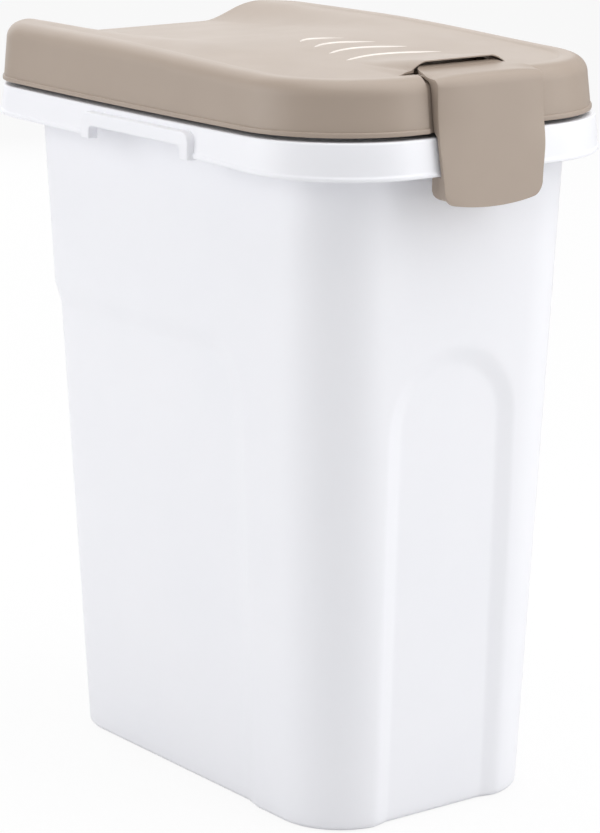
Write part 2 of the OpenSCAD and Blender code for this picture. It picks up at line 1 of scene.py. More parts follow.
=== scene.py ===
import math
import bpy
import bmesh
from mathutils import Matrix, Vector


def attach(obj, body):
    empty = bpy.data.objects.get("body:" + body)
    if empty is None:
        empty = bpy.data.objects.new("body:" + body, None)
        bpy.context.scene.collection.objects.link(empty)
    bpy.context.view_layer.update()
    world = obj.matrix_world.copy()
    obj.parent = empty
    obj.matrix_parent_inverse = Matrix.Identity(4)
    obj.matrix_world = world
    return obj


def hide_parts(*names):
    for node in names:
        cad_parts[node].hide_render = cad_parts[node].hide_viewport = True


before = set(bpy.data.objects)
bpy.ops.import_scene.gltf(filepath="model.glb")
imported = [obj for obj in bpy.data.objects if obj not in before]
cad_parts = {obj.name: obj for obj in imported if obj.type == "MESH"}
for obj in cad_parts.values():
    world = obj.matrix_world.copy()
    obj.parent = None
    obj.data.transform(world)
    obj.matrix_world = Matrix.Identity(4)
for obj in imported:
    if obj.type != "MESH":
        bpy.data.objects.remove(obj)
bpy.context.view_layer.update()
print("frame loaded")

mm = 0.001  # sizes below are in millimetres, and a mesh is made in metres


def mix(a, b, t):
    return a + (b - a) * t


def clamp01(t):
    return max(0.0, min(1.0, t))


def smooth(t):
    t = clamp01(t)
    return t * t * (3 - 2 * t)


# 0 at start and 1 at end, with a soft curve between; start may be the larger.
def eased(value, start, end):
    return smooth((value - start) / (end - start))


def spread(a, b, n):
    return [mix(a, b, i / n) for i in range(n + 1)]


def steps(start, step, count):
    return [start + step * i for i in range(count)]


def arc(u, v, r, first, last, count):
    turns = [math.radians(mix(first, last, i / count)) for i in range(count + 1)]
    return [(u + r * math.cos(a), v + r * math.sin(a)) for a in turns]


def filletSteps(n):
    return [math.radians(90 * i / n) for i in range(n + 1)]


def halfTurn(n):
    return [math.radians(180 * i / n) for i in range(n + 1)]


def between(p, q, n):
    return [(mix(p[0], q[0], i / n), mix(p[1], q[1], i / n)) for i in range(1, n)]


# How finely a rounded rectangle is divided: each corner, each long side, each short side.
cornerSteps, longSteps, shortSteps = 26, 92, 62


def roundRect(x, y, rFront, rBack):
    a = arc(x - rBack, y - rBack, rBack, 0, 90, cornerSteps)
    b = arc(-x + rBack, y - rBack, rBack, 90, 180, cornerSteps)
    c = arc(-x + rFront, -y + rFront, rFront, 180, 270, cornerSteps)
    d = arc(x - rFront, -y + rFront, rFront, 270, 360, cornerSteps)
    back = a + between(a[-1], b[0], shortSteps) + b + between(b[-1], c[0], longSteps)
    return back + c + between(c[-1], d[0], shortSteps) + d + between(d[-1], a[0], longSteps)


# Each point's outward direction on an outline that runs anticlockwise.
def outwards(points):
    n = len(points)
    out = []
    for i in range(n):
        ax, ay = points[i - 1]
        bx, by = points[(i + 1) % n]
        length = math.hypot(bx - ax, by - ay) or 1.0
        out.append(((by - ay) / length, (ax - bx) / length))
    return out


def makeObject(name, verts, faces):
    mesh = bpy.data.meshes.new(name)
    mesh.from_pydata([(x * mm, y * mm, z * mm) for x, y, z in verts], [], faces)
    mesh.validate()
    obj = bpy.data.objects.new(name, mesh)
    bpy.context.scene.collection.objects.link(obj)
    return obj


# A closed skin over rings with the same number of points, with a fan at each end.
def skin(name, rings):
    n = len(rings[0])
    verts = [p for ring in rings for p in ring]
    faces = []
    for j in range(len(rings) - 1):
        for i in range(n):
            k = (i + 1) % n
            faces.append((j * n + i, j * n + k, (j + 1) * n + k, (j + 1) * n + i))
    for ring, start, flip in ((rings[0], 0, True), (rings[-1], (len(rings) - 1) * n, False)):
        verts.append(tuple(sum(p[k] for p in ring) / n for k in range(3)))
        c = len(verts) - 1
        for i in range(n):
            a, b = start + i, start + (i + 1) % n
            faces.append((c, b, a) if flip else (c, a, b))
    return makeObject(name, verts, faces)


def setActive(obj):
    bpy.ops.object.select_all(action="DESELECT")
    obj.select_set(True)
    bpy.context.view_layer.objects.active = obj


def applyModifiers(obj):
    setActive(obj)
    for mod in list(obj.modifiers):
        bpy.ops.object.modifier_apply(modifier=mod.name)


def combine(obj, other, operation):
    mod = obj.modifiers.new("bool", "BOOLEAN")
    mod.operation = operation
    mod.solver = "MANIFOLD"
    mod.object = other
    applyModifiers(obj)
    bpy.data.objects.remove(other)


def shade(obj, degrees=32):
    setActive(obj)
    bpy.ops.object.shade_smooth_by_angle(angle=math.radians(degrees))


def bevel(obj, width, segments=3, degrees=40):
    mod = obj.modifiers.new("bevel", "BEVEL")
    mod.width = width * mm
    mod.segments = segments
    mod.limit_method = "ANGLE"
    mod.angle_limit = math.radians(degrees)
    mod.harden_normals = False
    applyModifiers(obj)


def boxSolid(name, low, high):
    (x0, y0, z0), (x1, y1, z1) = low, high
    verts = [(x0, y0, z0), (x1, y0, z0), (x1, y1, z0), (x0, y1, z0),
             (x0, y0, z1), (x1, y0, z1), (x1, y1, z1), (x0, y1, z1)]
    faces = [(3, 2, 1, 0), (4, 5, 6, 7), (0, 1, 5, 4), (1, 2, 6, 5), (2, 3, 7, 6), (3, 0, 4, 7)]
    return makeObject(name, verts, faces)


# An outline pushed from low to high; place puts an outline point and a level in space.
def prism(name, outline, low, high, place):
    n = len(outline)
    verts = [place(p, low) for p in outline] + [place(p, high) for p in outline]
    faces = [tuple(range(n - 1, -1, -1)), tuple(range(n, 2 * n))]
    faces += [(i, (i + 1) % n, n + (i + 1) % n, n + i) for i in range(n)]
    obj = makeObject(name, verts, faces)
    fixNormals(obj)
    return obj


def prismX(name, yz, x0, x1):
    return prism(name, yz, x0, x1, lambda p, x: (x, *p))


def prismY(name, xz, y0, y1):
    return prism(name, xz, y0, y1, lambda p, y: (p[0], y, p[1]))


def prismZ(name, xy, z0, z1):
    return prism(name, xy, z0, z1, lambda p, z: (*p, z))


# A slab between two grids of points, both given row by row.
def slab(name, upper, lower, cols):
    n = len(upper)
    rows = n // cols
    faces = []
    for i in range(rows - 1):
        for j in range(cols - 1):
            a, d = i * cols + j, (i + 1) * cols + j
            faces += [(a, a + 1, d + 1, d), (n + d, n + d + 1, n + a + 1, n + a)]
        for a, b in ((i * cols, (i + 1) * cols), ((i + 2) * cols - 1, (i + 1) * cols - 1)):
            faces.append((a, b, n + b, n + a))
    for j in range(cols - 1):
        last = (rows - 1) * cols + j
        faces += [(j + 1, j, n + j, n + j + 1), (last, last + 1, n + last + 1, n + last)]
    obj = makeObject(name, upper + lower, faces)
    fixNormals(obj)
    return obj


def fixNormals(obj):
    bm = bmesh.new()
    bm.from_mesh(obj.data)
    bmesh.ops.recalc_face_normals(bm, faces=bm.faces)
    bm.to_mesh(obj.data)
    bm.free()


def rodX(name, y, z, r, x0, x1, count=64):
    return prismX(name, arc(y, z, r, 0, 360, count)[:-1], x0, x1)


def join(name, parts):
    bpy.ops.object.select_all(action="DESELECT")
    for p in parts:
        p.select_set(True)
    bpy.context.view_layer.objects.active = parts[0]
    bpy.ops.object.join()
    parts[0].name = name
    return parts[0]


# A shader value that can be added and multiplied like a number.
class Value:
    def __init__(self, nodes, out):
        self.nodes, self.out = nodes, out

    def __add__(self, other):
        return self.nodes.add("Math", {"operation": "ADD"}, {0: self, 1: other})

    def __mul__(self, other):
        return self.nodes.add("Math", {"operation": "MULTIPLY"}, {0: self, 1: other})

    __radd__, __rmul__ = __add__, __mul__


# A node tree with one way to add a node: its type, its settings, then its sockets.
class Nodes:
    def __init__(self, tree):
        self.tree = tree

    def add(self, kind, settings=None, sockets=None, out=0):
        node = self.tree.nodes.new("ShaderNode" + kind)
        for name, value in (settings or {}).items():
            setattr(node, name, value)
        self.feed(node, sockets or {})
        return Value(self, node.outputs[out])

    def feed(self, node, sockets):
        for name, value in sockets.items():
            if isinstance(value, Value):
                self.tree.links.new(value.out, node.inputs[name])
            else:
                node.inputs[name].default_value = value


# A named material with its Principled shader, and the nodes that most looks use.
class Finish(Nodes):
    def __init__(self, name):
        self.mat = bpy.data.materials.new(name)
        self.mat.use_nodes = True
        super().__init__(self.mat.node_tree)
        self.shader = self.tree.nodes["Principled BSDF"]

    def surface(self, sockets):
        self.feed(self.shader, sockets)

    def noise(self, scale, detail=2.0, rough=0.5):
        place = self.add("TexCoord", out="Object")
        sockets = {"Scale": scale, "Detail": detail, "Roughness": rough, "Vector": place}
        return self.add("TexNoise", sockets=sockets, out="Fac")

    def between(self, factor, a, b):
        sockets = {"Factor": factor, "A": (*linear(*a), 1), "B": (*linear(*b), 1)}
        return self.add("Mix", {"data_type": "RGBA"}, sockets, out="Result")

    def bump(self, height, strength, distance):
        sockets = {"Strength": strength, "Distance": distance, "Height": height}
        return self.add("Bump", sockets=sockets, out="Normal")


def linear(r, g, b):
    return tuple((c / 255 / 12.92) if c / 255 <= 0.04045 else ((c / 255 + 0.055) / 1.055) ** 2.4
                 for c in (r, g, b))


# Each look's two colours drift into each other, and its roughness runs from low to low + spread.
def whitePlastic():
    look = dict(a=(246, 246, 250), b=(241, 242, 247), cloud=9.0, low=0.32, spread=0.08, grain=900.0)
    m = Finish("white_plastic")
    m.surface({
        "Base Color": m.between(m.noise(look["cloud"], 3.0), look["a"], look["b"]),
        "Roughness": m.noise(look["cloud"] * 3) * look["spread"] + look["low"],
        "Normal": m.bump(m.noise(look["grain"]), 0.08, 0.0004),
        "IOR": 1.49})
    return m.mat


def taupePlastic():
    look = dict(a=(172, 157, 144), b=(163, 148, 135), cloud=14.0, low=0.38, spread=0.08, grain=1400.0)
    m = Finish("taupe_plastic")
    m.surface({
        "Base Color": m.between(m.noise(look["cloud"], 3.0), look["a"], look["b"]),
        "Roughness": m.noise(look["cloud"] * 2.5) * look["spread"] + look["low"],
        "Normal": m.bump(m.noise(look["grain"], 3.0, 0.6), 0.16, 0.0003),
        "IOR": 1.49})
    return m.mat


def darkRubber():
    look = dict(a=(52, 48, 47), b=(40, 37, 36), cloud=30.0, low=0.7, spread=0.1, grain=700.0)
    m = Finish("seal_rubber")
    m.surface({
        "Base Color": m.between(m.noise(look["cloud"]), look["a"], look["b"]),
        "Roughness": m.noise(look["cloud"] * 2) * look["spread"] + look["low"],
        "Normal": m.bump(m.noise(look["grain"]), 0.2, 0.0003)})
    return m.mat


def pinSteel():
    look = dict(a=(178, 178, 180), b=(160, 160, 163), cloud=120.0, low=0.25, spread=0.12)
    m = Finish("pin_steel")
    m.surface({
        "Base Color": m.between(m.noise(look["cloud"]), look["a"], look["b"]),
        "Roughness": m.noise(look["cloud"] * 2.5) * look["spread"] + look["low"],
        "Metallic": 1.0})
    return m.mat


# The steps of the crescents get a whitish colour that is a painted highlight, and are glossier than the rest
# of the lid.
def paintedHighlightFinish():
    look = dict(a=(246, 240, 234), b=(238, 231, 224), cloud=40.0, low=0.19, spread=0.06)
    m = Finish("taupe_painted_highlight")
    m.surface({
        "Base Color": m.between(m.noise(look["cloud"]), look["a"], look["b"]),
        "Roughness": m.noise(look["cloud"] * 2.25) * look["spread"] + look["low"],
        "IOR": 1.49})
    return m.mat


# The last of these is a painted highlight for the crescents' steps.
white, taupe, rubber, steel, paintedHighlight = whitePlastic(), taupePlastic(), darkRubber(), pinSteel(), paintedHighlightFinish()


# Gives a piece its material and the body it rides on, and hides the nodes it stands in for.
def dress(obj, mat, body, slot, *nodes):
    obj.data.materials.clear()
    obj.data.materials.append(mat)
    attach(obj, body)
    if nodes:
        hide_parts(*nodes)


print("materials made")

# The tub leans out from base to mouth, and its skirt hangs from the rim all round.
binSize = dict(
    baseX=101.0, baseY=172.0, mouthX=119.0, mouthY=191.0, height=500.0, wall=2.4, floor=3.0,
    cornerR=51.0, footR=4.0, lip=6.0, skirtZ=478.0, skirtDrop=4.0, skirtT=2.3, lean=3.0,
    rimX=143.0, rimY=215.0, frontR=77.0, backR=57.0, bowSide=5.4, bowFront=5.2)

# The recessed panels; side and front are each a depth and the width of its ramp.
panel = dict(
    side=(3.7, 18.0), front=(3.4, 14.5), sideTop=350.5, sideFront=-90.0, sideR=46.0,
    frontHalf=57.0, frontTop=347.0)
grip = dict(half=56.5, frame=10.0, height=8.0, out=4.0, y=-12.0, inner=0.2, cornerR=8.0, openR=3.5)


def wallOutline(inset, z):
    t = z / binSize["skirtZ"]
    x = mix(binSize["baseX"], binSize["mouthX"], t) - inset
    y = mix(binSize["baseY"], binSize["mouthY"], t) - inset
    r = binSize["cornerR"] - inset
    return roundRect(x, y, r, r)


def bowedOutline(inset, frontR, backR):
    x, y = binSize["rimX"] - inset, binSize["rimY"] - inset
    out = []
    for px, py in roundRect(x, y, frontR - inset, backR - inset):
        side = binSize["bowSide"] * (1 - (py / y) ** 2) * px / x
        ahead = binSize["bowFront"] * (1 - (px / x) ** 2) * py / y if py < 0 else 0.0
        out.append((px + side, py + ahead))
    return out


def rimOutline(inset):
    return bowedOutline(inset, binSize["frontR"], binSize["backR"])


# A panel's ramp, rounded a little where it starts and where it ends.
def rampDepth(distance, depth, ramp):
    t = clamp01(distance / ramp)
    soft = 0.1
    if t < soft:
        t = t * t / (2 * soft)
    elif t > 1 - soft:
        t = 1 - soft - (1 - t) ** 2 / (2 * soft)
    else:
        t = t - soft / 2
    return depth * t / (1 - soft)


# How far a place lies inside a panel's edge.
def sidePanel(y, z):
    dy, dz, r = y - panel["sideFront"], panel["sideTop"] - z, panel["sideR"]
    if dy < r and dz < r:
        return r - math.hypot(r - dy, r - dz)
    return min(dy, dz)


def frontPanel(x, z):
    r = panel["frontHalf"]
    mid = panel["frontTop"] - r
    return r - (abs(x) if z < mid else math.hypot(x, z - mid))


def panelDepth(x, y, z):
    d = rampDepth(sidePanel(y, z), *panel["side"])
    if y < -120:
        d = max(d, rampDepth(frontPanel(x, z), *panel["front"]))
    return d


# The tub's wall at one height, pushed in by inset and by the panels.
def wallRing(inset, z):
    base = wallOutline(0, z)
    out = []
    for (x, y), (nx, ny) in zip(base, outwards(base)):
        d = inset + panelDepth(x, y, z)
        out.append((x - nx * d, y - ny * d, z))
    return out


# The skirt's lower edge drops towards the front and rises over the finger openings.
def skirtLow(x, y):
    low = binSize["skirtZ"] - binSize["skirtDrop"] * eased(y, -60, -binSize["rimY"])
    if abs(x) > 120:
        low += grip["height"] * eased(abs(y - grip["y"]), grip["half"] + 7, grip["half"] + 3)
    return low


def rimRing(inset, z):
    return [(x, y, z) for x, y in rimOutline(inset)]


def skirtRing(inset, dz):
    return [(x, y, skirtLow(x, y) + dz) for x, y in rimOutline(inset)]


# One skin: up the outside of the wall, round the rim and the skirt, over the lip and down the inside.
def buildBin():
    height, wall, foot, floor = (binSize[k] for k in ("height", "wall", "footR", "floor"))
    lean, plate, lip = binSize["lean"], binSize["skirtT"], binSize["lip"]
    underR, shelfR, edgeR, lipR, floorR = 3.0, 2.0, 1.6, 1.5, 3.0
    shelf = height - plate
    rings = [[(x * 0.5, y * 0.5, 0.0) for x, y, z in wallRing(foot, 0)]]
    for a in filletSteps(5):
        rings.append(wallRing(foot * (1 - math.sin(a)), foot * (1 - math.cos(a))))
    rings += [wallRing(0, z) for z in steps(10, 6, 45) + steps(280, 3, 25) + steps(358, 14, 10)]
    for a in filletSteps(4):
        rings.append(wallRing(-underR * (1 - math.cos(a)), shelf - underR * (1 - math.sin(a))))
    inside = lean + plate
    for a in filletSteps(4):
        rings.append(rimRing(inside + shelfR * (1 - math.sin(a)) - 0.1, shelf - shelfR * (1 - math.cos(a))))
    back, edge = plate + 0.3, 1.15
    rings += [skirtRing(mix(back, inside, 0.5), 9), skirtRing(back, 3)]
    for a in halfTurn(8):
        rings.append(skirtRing(back / 2 * (1 + math.cos(a)), edge * (1 - math.sin(a))))
    for inset, above in ((0, 2.4), (0.2, 2.9), (0.6, 3.3), (0.9, 3.8), (1.0, 4.6)):  # the ledge over its edge
        rings.append(skirtRing(inset, above))
    rings += [rimRing(mix(1.0, lean - 0.2, k), mix(483.5, height - edgeR, k)) for k in (0.2, 0.6, 1)]
    for a in filletSteps(5)[1:]:
        rings.append(rimRing(lean - 0.2 + edgeR * (1 - math.cos(a)), height - edgeR + edgeR * math.sin(a)))
    for a in filletSteps(4):
        rings.append(wallRing(-lipR * (1 - math.sin(a)), height + lipR * (1 - math.cos(a))))
    for a in halfTurn(8):
        rings.append(wallRing(wall / 2 * (1 - math.cos(a)), height + lip - wall / 2 * (1 - math.sin(a))))
    rings += [wallRing(wall, z) for z in steps(498, -14, 10) + steps(352, -3, 25) + steps(276, -10, 27)]
    for a in filletSteps(4):
        rings.append(wallRing(wall + floorR * (1 - math.cos(a)), floor + floorR * (1 - math.sin(a))))
    rings.append([(x * 0.5, y * 0.5, floor) for x, y, z in wallRing(wall + floorR, floor)])
    body = skin("binShell", rings)
    shade(body, 38)
    return body


# The frame's outline in y and z: over the top, down, and back round the finger opening.
def gripOutline(grow, lift):
    outer, inner = grip["half"] + grip["frame"] + grow, grip["half"]
    low, high = binSize["skirtZ"] - 1.5, binSize["skirtZ"] + grip["height"]
    top, r, q = binSize["height"] - 4.2 + lift, grip["cornerR"], grip["openR"]
    pts = [(outer, low)] + arc(outer - r, top - r, r, 0, 90, 8) + arc(r - outer, top - r, r, 90, 180, 8)
    pts += [(-outer, low), (-inner, low)] + arc(q - inner, high - q, q, 180, 90, 5)
    pts += arc(inner - q, high - q, q, 90, 0, 5) + [(inner, low)]
    return [(grip["y"] + y, z) for y, z in pts]


def gripFrame(side):
    inner = binSize["rimX"] + grip["inner"]
    outer = binSize["rimX"] + binSize["bowSide"] + grip["out"] - 1
    rings = [[(side * x, y, z) for y, z in gripOutline(grow, lift)]
             for x, grow, lift in ((inner, 1.2, 0.7), (outer, 0.0, 0.0))]
    n = len(rings[0])
    verts = rings[0] + rings[1]
    faces = [tuple(range(n)), tuple(range(2 * n - 1, n - 1, -1))]
    faces += [(i, (i + 1) % n, n + (i + 1) % n, n + i) for i in range(n)]
    obj = makeObject("grip", verts, faces)
    fixNormals(obj)
    bevel(obj, 1.2, 4, 50)
    return obj


# The hinge at the back: an ear stands on the rim at earRoot and earFoot, a knuckle grows from the lid.
hinge = dict(
    x=70.0, y=218.5, z=503.0, width=24.0, r=5.5, ear=5.0, pin=2.5, gap=0.4, clear=0.06,
    earRoot=((209.5, 497.0), (212.5, 482.0)), earFoot=489.0, knuckleY=206.2, knuckleZ=501.0)


def hingeEars():
    ears = []
    for side in (-1, 1):
        for end in (-1, 1):
            mid = side * hinge["x"] + end * (hinge["width"] / 2 + hinge["gap"] + hinge["ear"] / 2)
            y, z, r = hinge["y"], hinge["z"], hinge["r"]
            pts = [*hinge["earRoot"], (y + r / 2, hinge["earFoot"])] + arc(y, z, r, 0, 180, 20)
            ear = prismX("ear", pts, mid - hinge["ear"] / 2, mid + hinge["ear"] / 2)
            combine(ear, rodX("bore", y, z, hinge["pin"], mid - 10, mid + 10), "DIFFERENCE")
            bevel(ear, 0.5, 2, 50)
            ears.append(ear)
    return join("hingeEars", ears)


binShell = buildBin()
dress(binShell, white, "bin", "bin_plastic", "bin_body")
gripFrames = join("gripFrames", [gripFrame(-1), gripFrame(1)])
shade(gripFrames)
dress(gripFrames, white, "bin", "bin_plastic")
ears = hingeEars()
shade(ears)
dress(ears, white, "bin", "bin_plastic")
print("bin made", len(binShell.data.polygons))

# The lid: its outer field rises along y as a bank, and the middle lies lower, with a ridge across it.
lidSize = dict(
    low=503.0, frontR=82.0, backR=52.0, inset=4.8, bead=1.2, draft=2.2, edgeR=12.0, thick=2.2,
    frontZ=540.0, bankRise=5.5, bankFrom=-168.0, bankTo=68.0, floorHalf=57.0, floorDrop=1.6,
    ridgeY=-28.0, ridgeR=40.0, backSlope=0.0637, frontFall=3.6, frontRun=120.0)
dip = dict(depth=1.5, atSides=0.45, starts=23.5, full=28.5, fades=31.0, ends=73.0)
hood = dict(mouth=-184.7, fade=-112.0, top=547.2, base=540.5, flat=28.0, foot=41.5, lip=0.7, deep=-163.0)
scoop = dict(
    depth=0.85, tips=((-31, 19.5), (-58, 27.5), (-85, 35.0), (-114, 42.5)), rise=13.0, width=8.0)
seal = dict(half=4.1, wall=2.0, above=2.0, web=7.0)

# The clasp turns on its pin in the seat; topHalf is half the clasp's width on top, at places along y.
seat = dict(
    z=538.4, gap=1.0, side=49.6, tubHalf=39.3, tubFloor=526.0, tubFront=-195.5, tubBack=-176.9,
    turnHalf=38.7, turnTop=539.9)
pivot = dict(y=-188.5, z=537.6, pin=1.6, clear=0.06, hold=43.0, barrelR=4.0, barrelHalf=35.0)
claspSize = dict(
    low=450.9, topZ=541.4, tailZ=542.0, topY=-222.4, lean=3.1, bend=9.0, thick=2.4, half=46.2, foot=43.0,
    cornerX=8.0, cornerZ=9.0, crown=3.2, bow=4.6, end=-178.5,
    topHalf=((-205.7, 46.5), (-197.3, 43.1), (-192.0, 40.2), (-187.5, 37.6), (-184.7, 36.0), (-182.2, 33.5),
             (-178.5, 29.0)))


def lidOutline(inset):
    return bowedOutline(inset, lidSize["frontR"], lidSize["backR"])


def lidRing(inset, z):
    return [(x, y, z) for x, y in lidOutline(inset)]


def claspHalf(y):
    places = claspSize["topHalf"]
    if y <= places[0][0]:
        return claspSize["half"]
    for (y0, h0), (y1, h1) in zip(places, places[1:]):
        if y <= y1:
            return mix(h0, h1, (y - y0) / (y1 - y0))
    return places[-1][1]


def bankZ(y):
    return lidSize["frontZ"] + lidSize["bankRise"] * eased(y, lidSize["bankFrom"], lidSize["bankTo"])


# The middle's height: it falls from the ridge both ways.
def middleZ(y):
    behind, r = y - lidSize["ridgeY"], lidSize["ridgeR"]
    if behind > 0:
        fall = lidSize["backSlope"] * (math.hypot(behind, r) - r)
    else:
        fall = lidSize["frontFall"] * eased(-behind, 0, lidSize["frontRun"])
    return lidSize["frontZ"] + lidSize["bankRise"] - lidSize["floorDrop"] - fall


# A shallow dip runs along the edge, strongest at the front and gone towards the back.
def edgeDip(inset, y):
    strength = mix(dip["atSides"], 1.0, eased(y, -60, -170)) * eased(y, 170, 120)
    across = eased(inset, dip["starts"], dip["full"]) * eased(inset, dip["ends"], dip["fades"])
    return dip["depth"] * strength * across


# The lid's top: the bank outside, the middle within floorHalf, and the dip where inset says.
def fieldZ(x, y, inset=100.0):
    half = binSize["rimX"] - lidSize["inset"] - lidSize["draft"] - lidSize["edgeR"]
    return mix(middleZ(y), bankZ(y), eased(abs(x), lidSize["floorHalf"], half - 14)) - edgeDip(inset, y)


# The arch of the hood's mouth: its height over x, full within flat and gone at foot.
def hoodEdge(x):
    skirt = 0.11 * eased(abs(x), 52, 40)
    inside = clamp01((hood["foot"] - abs(x)) / (hood["foot"] - hood["flat"]))
    arch = 0.89 * (1 - (1 - inside) ** 1.8)
    return hood["base"] + (hood["top"] - hood["base"]) * (skirt + arch)


# How far the hood stands over the field, from its mouth back to fade and out to its sides.
def hoodLift(x, y, z):
    along, side, ahead = eased(y, hood["fade"], hood["mouth"]), eased(abs(x), 53, 44), eased(y, -193, -190)
    return max(0.0, hoodEdge(x) - z) * along * side * ahead


# The lid's surface moved in by off: 0 for the outside, with its bead, or the wall's thickness for the inside.
def lidRings(off, low):
    inset, draft, r = lidSize["inset"], lidSize["draft"], lidSize["edgeR"]
    crest = inset + draft + r
    if off == 0:
        bead = lidSize["bead"]
        rings = [lidRing(inset - bead + 0.6, low), lidRing(inset - bead + 0.15, low + 0.2),
                 lidRing(inset - bead, low + 0.7), lidRing(inset - bead, low + 2.4)]
        for a in filletSteps(5)[1:]:
            rings.append(lidRing(inset - bead * math.cos(a), low + 2.4 + bead * math.sin(a)))
        rings += [lidRing(inset, low + 4.0), lidRing(inset, low + 5.0)]
    else:
        rings = [lidRing(inset + off, low)]
    wall, top = lidOutline(inset + draft + off), lidOutline(crest)
    heights = [fieldZ(x, y, crest) for x, y in top]
    lowWall = lidOutline(inset + off)
    for k in (0.33, 0.66):
        rings.append([(mix(a[0], b[0], k), mix(a[1], b[1], k), mix(low + 5.0, h - r, k))
                      for a, b, h in zip(lowWall, wall, heights)])
    for a in filletSteps(12)[:-1]:
        rings.append([(mix(p[0], q[0], 1 - math.cos(a)), mix(p[1], q[1], 1 - math.cos(a)),
                       h - r + (r - off) * math.sin(a)) for p, q, h in zip(wall, top, heights)])
    field = [(inward, lidOutline(inward), 1.0) for inward in steps(crest, 1.5, 15)]
    edge, outline, whole = field[-1]
    count = 84
    for i in range(1, count):
        k = whole - i / count * 0.985
        field.append((edge + 110 * (1 - k), outline, k))
    for inward, outline, k in field[::1 if off == 0 else 2]:
        ring = []
        for x, y in outline:
            x, y = x * k, y * k
            z = fieldZ(x, y, inward)
            ring.append((x, y, z + hoodLift(x, y, z) - off))
        rings.append(ring)
    return rings


# How far a place lies behind the rim's front edge.
def frontInset(x, y):
    edge = binSize["rimY"] + binSize["bowFront"] * (1 - (x / binSize["rimX"]) ** 2)
    return edge + y


# Trims the front of the hood down to the field, so that its mouth stands upright.
def hoodFaceCutter():
    places = [(x, y) for y in spread(-201, hood["mouth"], 12) for x in spread(-60, 60, 60)]
    upper = [(x, y, 560.0) for x, y in places]
    lower = [(x, y, fieldZ(x, y, frontInset(x, y)) + 0.06) for x, y in places]
    return slab("cut", upper, lower, 61)


# The mouth's outline in x and z, from its left foot over the arch to its right foot.
def mouthPoints(grow):
    foot = seat["tubHalf"]
    right = [(foot, seat["tubFloor"]), (foot, claspSize["tailZ"] + 0.15)]
    for x in spread(38.4, 28, 9) + [24.0, 16.0, 8.0]:
        right.append((x, min(hood["top"] - 0.7, hoodEdge(x) - hood["lip"] - 0.1)))
    right = [(x, z + grow * (0 if z < 530 else 1)) for x, z in right]
    return [(-x, z) for x, z in right] + [(x, z) for x, z in reversed(right)]


# The room for the clasp's front: its side view in y and z, then its plan.
def flankSpace(grow):
    g, side = grow, seat["side"] + grow
    pts = [(-232, 497.5 - g), (-213.4 + g, 497.5 - g), (-212.1 + g, 513), (-210.8 + g, 525),
           (-210 + g, 531.2 - g / 2), (-208.9 + g, 534.2 - g), (-206.4 + g * 0.8, 536.3 - g),
           (-202.6 + g / 2, 537.5 - g), (-197.5, 538.2 - g), (-197.5, 560), (-232, 560)]
    space = prismX("flank", pts, -side - 1, side + 1)
    plan = [(side, -240), (side, -211.5), (side - 0.5, -207.5), (side - 1.4, -203.5),
            (side - 2.8, -199), (side - 5, -190)]
    plan += [(-x, y) for x, y in reversed(plan)]
    combine(space, prismZ("plan", plan, 480, 570), "INTERSECT")
    return space


# All the room the clasp needs: notch, tub, the tail's turn, flanks, the mouth and the slot behind it.
def claspSpace(grow):
    ys = [-240, -212] + spread(-206, -184.9, 30)
    right = [(claspHalf(y) + seat["gap"] + grow, y) for y in ys]
    right = [(x if y < -190.5 else max(x, seat["tubHalf"] + grow), y) for x, y in right]
    right.append((seat["tubHalf"] + grow, hood["mouth"] + grow / 10))
    plan = right + [(-x, y) for x, y in reversed(right)]
    notch = prismZ("space", plan, seat["z"] - grow, 562)
    tub = boxSolid("tub", (-seat["tubHalf"] - grow, seat["tubFront"] - grow, seat["tubFloor"] - grow),
                   (seat["tubHalf"] + grow, seat["tubBack"] + grow, seat["z"] + 0.02))
    combine(notch, tub, "UNION")
    turn = boxSolid("turn", (-seat["turnHalf"] - grow, seat["tubFront"], seat["z"] - 1),
                    (seat["turnHalf"] + grow, seat["tubBack"] + grow - 0.3, seat["turnTop"]))
    combine(notch, turn, "UNION")
    combine(notch, flankSpace(grow), "UNION")
    arch = [(x + math.copysign(grow, x), z) for x, z in mouthPoints(grow)]
    combine(notch, prismY("arch", arch, hood["mouth"] - 0.3, seat["tubBack"] + grow), "UNION")
    slot = [(x * 0.9, z - 1.4) for x, z in arch if z > 543]
    slot += [(slot[-1][0], seat["z"] - 1 - grow), (slot[0][0], seat["z"] - 1 - grow)]
    low = fieldZ(44, hood["mouth"], 35)
    for side in (-1, 1):
        step = [(36.6, -grow), (36.6, 0.85), (44, 0.75), (47.5, 0.45), (50, -grow)]
        step = [(side * (x + (grow if x > 40 else 0)), low + z) for x, z in step]
        combine(notch, prismY("step", step, hood["mouth"] - 0.5, hood["mouth"] + 2.6 + grow), "UNION")
    combine(notch, prismY("slot", slot, seat["tubBack"] - 1, hood["deep"] + grow), "UNION")
    return notch


# One crescent: a step that slants at its back edge and fades out forwards and at both tips.
def scoopCutter(tipY, half):
    rows = 40
    verts, faces = [], []
    for i in range(rows + 1):
        t = mix(-0.995, 0.995, i / rows)
        x = half * t
        back = tipY + scoop["rise"] * (1 - t * t)
        wide = scoop["width"] * (1 - t * t) ** 0.8 + 0.25
        zb, zf = fieldZ(x, back), fieldZ(x, back - wide)
        deep = scoop["depth"] * (1 - t ** 8) + 0.05
        riser = back + deep * 0.9
        verts += [(x, back - 0.2, zb - deep), (x, riser, zb + 0.06), (x, riser + 0.1, zb + 3),
                  (x, back - wide, zf + 3), (x, back - wide, zf + 0.03)]
        if i:
            a, b = 5 * (i - 1), 5 * i
            faces += [(a + k, a + (k + 1) % 5, b + (k + 1) % 5, b + k) for k in range(5)]
    faces += [(4, 3, 2, 1, 0), tuple(5 * rows + k for k in range(5))]
    obj = makeObject("scoop", verts, faces)
    fixNormals(obj)
    return obj


